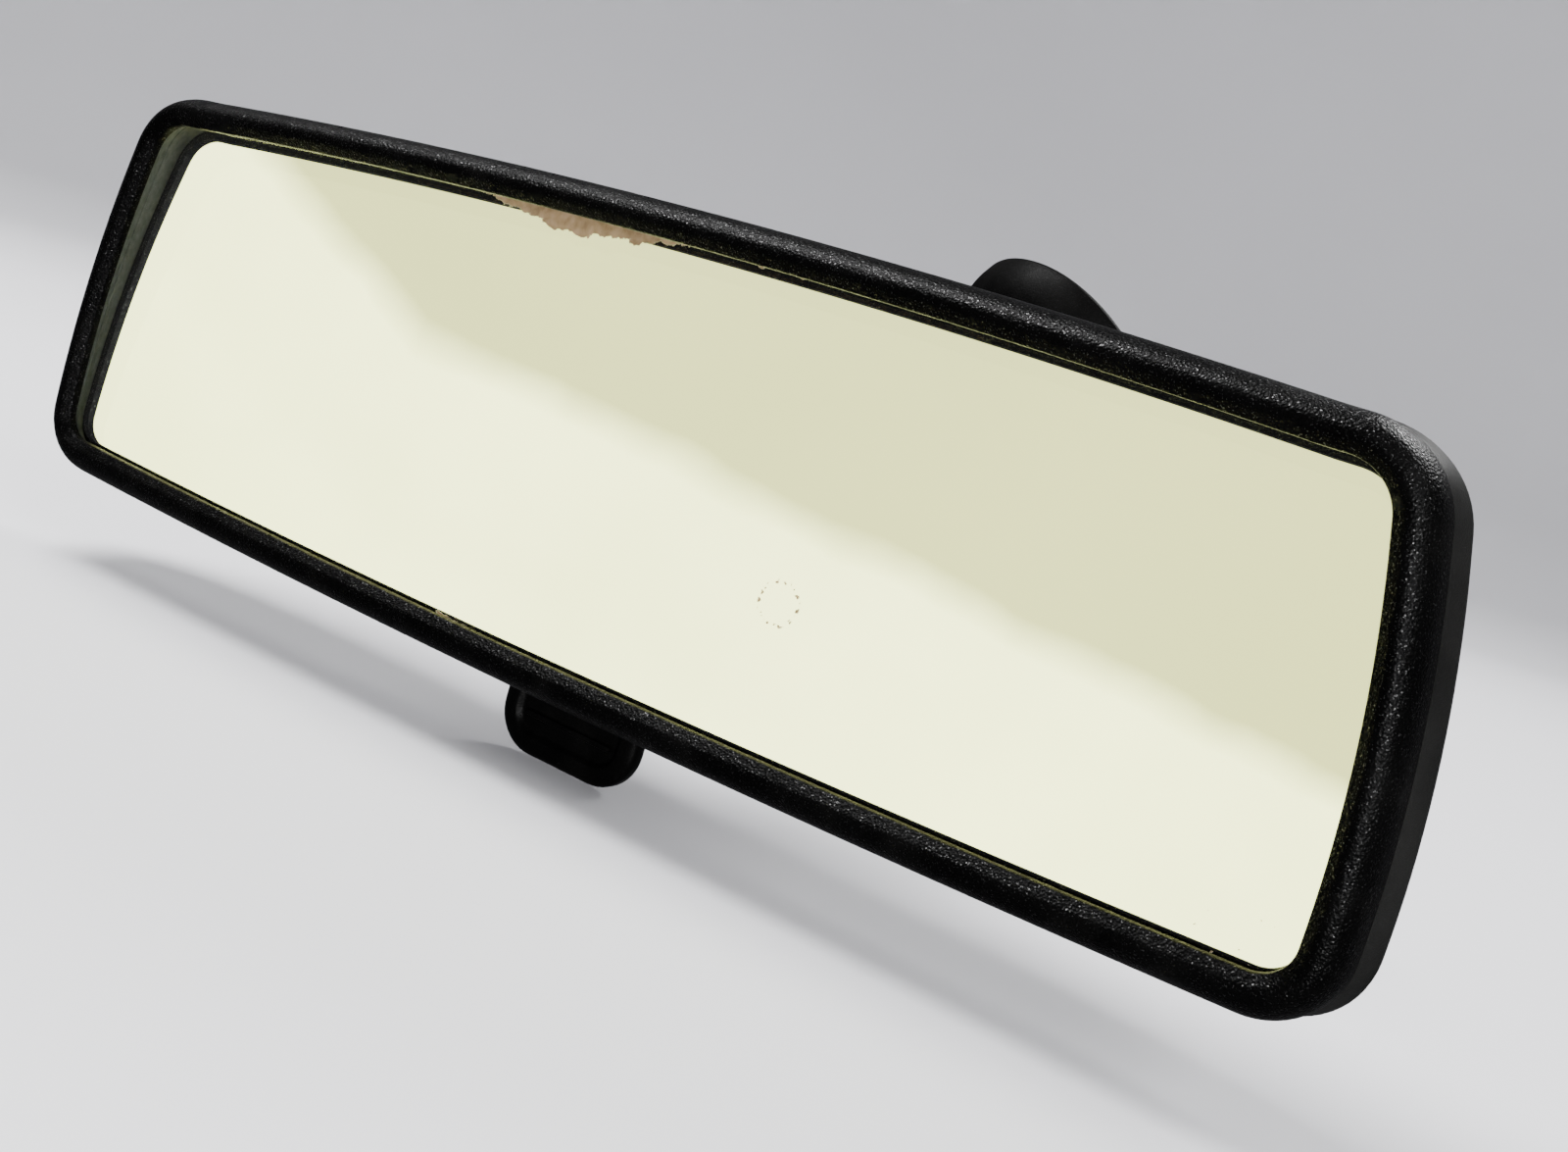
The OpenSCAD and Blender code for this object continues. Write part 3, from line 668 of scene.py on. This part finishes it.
def build_pieces(looks):
    """Visual pieces in place of their CAD nodes, then looks for the nodes that stay."""
    pieces = (
        (make_bezel(), "head", "bezel_plastic", ["bezel"]),
        (make_shell(), "head", "shell_plastic", ["rear_shell"]),
        (make_lever(), "lever", "lever_plastic", ["day_night_lever"]),
        (make_arm(), "windscreen_arm", "arm_plastic", ["arm"]),
        (make_foot(), "windscreen_arm", "foot_plastic", ["mount_foot"]),
    )
    for obj, body, slot, nodes in pieces:
        for face in obj.data.polygons:
            face.material_index = 0
        dress(obj, looks[slot])
        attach(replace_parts(obj, *nodes), body)
    glass = make_glass()
    dress(glass, clear_glass(), silvering(), ground_edge())
    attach(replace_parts(glass, "prism_glass"), "head")
    for slot, nodes in SHOWN_NODES.items():
        for node in nodes:
            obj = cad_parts[node]
            obj.data.materials.clear()
            obj.data.materials.append(looks[slot])


# ---- Stage, light and camera ----
CAMERA_AT = Vector((0.11183, -0.28269, -0.01427))
CAMERA_LOOK = Vector((-0.47801, 0.86721, -0.13946))
CAMERA_UP = Vector((-0.31669, -0.02206, 0.94827))
AIM = Vector((-0.03, -0.08, -0.04))
CARD_AT = Vector((-0.75, -1.15, 0.0))
CARD_GLOW, WORLD_GLOW = 5.6, 0.18
# Place, diameter and watts of each lamp
LAMPS = {
    "key": ((-0.5, -0.2, 1.0), 0.7, 32),
    "fill": ((0.9, -0.5, 0.7), 0.6, 10),
    "back": ((0.3, 0.9, 0.9), 0.6, 16),
    "window": ((0.62, -0.8, 0.02), 0.1, 14),
}


def plain(name, colour, rough, variation):
    """Evenly rough colour that clouds a little towards a lighter one."""
    look = Look(name)
    light = tuple(min(1.0, c * (1 + variation)) for c in colour)
    cloud = look.steps(look.noise(2.5, 3), 0.3, 0.7)
    return look.finish(Base_Color=look.mix(cloud, colour, light), Roughness=rough)


def make_floor(z):
    """Level round floor that curves up into a wall, hidden from the glass."""
    bend = ((0.01, 0), (1.2, 0), (1.6, 0.03), (1.9, 0.16), (2.1, 0.4), (2.2, 0.8), (2.25, 2.4))
    turns = [i * math.pi / 32 for i in range(64)]
    rings = [[(r * math.cos(a) / MM, r * math.sin(a) / MM, h / MM) for a in turns] for r, h in bend]
    verts = [v for ring in rings for v in ring]
    faces = [tuple(range(len(turns))), *strips(rings, False)]
    floor = mesh_object("floor", verts, faces, Matrix.Translation((0, 0, z)), sharp=90)
    floor.data.materials.append(plain("floor_paper", (0.7, 0.7, 0.725), 0.8, 0.03))
    floor.visible_glossy = floor.visible_transmission = False
    floor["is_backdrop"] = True


def make_light(name, at, size, power):
    data = bpy.data.lights.new(name, "AREA")
    data.shape, data.size, data.energy = "DISK", size, power
    obj = bpy.data.objects.new(name, data)
    bpy.context.scene.collection.objects.link(obj)
    obj.location = at
    obj.rotation_euler = (AIM - Vector(at)).to_track_quat("-Z", "Y").to_euler()
    obj.visible_camera = obj.visible_transmission = False
    obj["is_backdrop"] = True


def make_card():
    """Glowing card, no lamp, that paints the reflection in the glass: pale cream to the left and in front,
    with painted shade above a slanting edge.

    The silvered face sends it back out through the glass, so only transmitted rays meet it.
    """
    name = "painted_reflection_card"
    facing = (Vector((-0.03, -0.09, 0.0)) - CARD_AT).to_track_quat("Z", "Y").to_matrix().to_4x4()
    half = 2600
    verts = [(-half, -half, 0), (half, -half, 0), (half, half, 0), (-half, half, 0)]
    card = mesh_object(name, verts, [(0, 1, 2, 3)], Matrix.Translation(CARD_AT) @ facing)
    look = Look(name)
    place = look.node("ShaderNodeSeparateXYZ", Vector=look.coords)
    past = look.math("MAXIMUM", look.math("SUBTRACT", place.outputs[0], 0.25), 0.0)
    rise = look.math("ADD", look.math("MULTIPLY", place.outputs[0], 0.12), look.math("MULTIPLY", past, 0.5))
    slant = look.math("SUBTRACT", place.outputs[1], rise)
    wobble = look.math("MULTIPLY", look.math("SUBTRACT", look.noise(6, 3), 0.5), 0.04)
    fac = look.steps(look.math("ADD", slant, wobble), 0.03, 0.07)
    # Painted reflection: a cream glow for the mirror to show, with a darker painted shade above the
    # slanting edge.
    cloud = look.mix(look.steps(look.noise(3, 3), 0.3, 0.7), (1.0, 1.0, 0.5), (0.86, 0.87, 0.42))
    colour = look.mix(fac, cloud, (0.4, 0.395, 0.165))
    look.finish(Base_Color=(0, 0, 0, 1), Emission_Color=colour, Emission_Strength=CARD_GLOW)
    card.data.materials.append(look.mat)
    card.visible_camera = card.visible_diffuse = card.visible_shadow = False
    card.visible_glossy = False
    card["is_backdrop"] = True


def make_stage():
    world = bpy.data.worlds.new("studio")
    world.use_nodes = True
    sky = world.node_tree.nodes["Background"].inputs
    sky[0].default_value = (0.82, 0.82, 0.86, 1)
    sky[1].default_value = WORLD_GLOW
    bpy.context.scene.world = world
    make_floor(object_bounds()[0][2] - 0.0005)
    for name, lamp in LAMPS.items():
        make_light(name, *lamp)
    make_card()


def make_camera():
    """Camera at the photo's viewing angle, as wide as its focal length is long."""
    data = bpy.data.cameras.new("camera")
    data.sensor_width, data.lens = 36.0, 36.0
    cam = bpy.data.objects.new("camera", data)
    bpy.context.scene.collection.objects.link(cam)
    right = CAMERA_LOOK.cross(CAMERA_UP).normalized()
    up = right.cross(CAMERA_LOOK).normalized()
    axes = Matrix((right, up, -CAMERA_LOOK.normalized())).transposed()
    cam.matrix_world = Matrix.Translation(CAMERA_AT) @ axes.to_4x4()
    bpy.context.scene.camera = cam


build_pieces(make_looks())
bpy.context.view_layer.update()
make_stage()
make_camera()
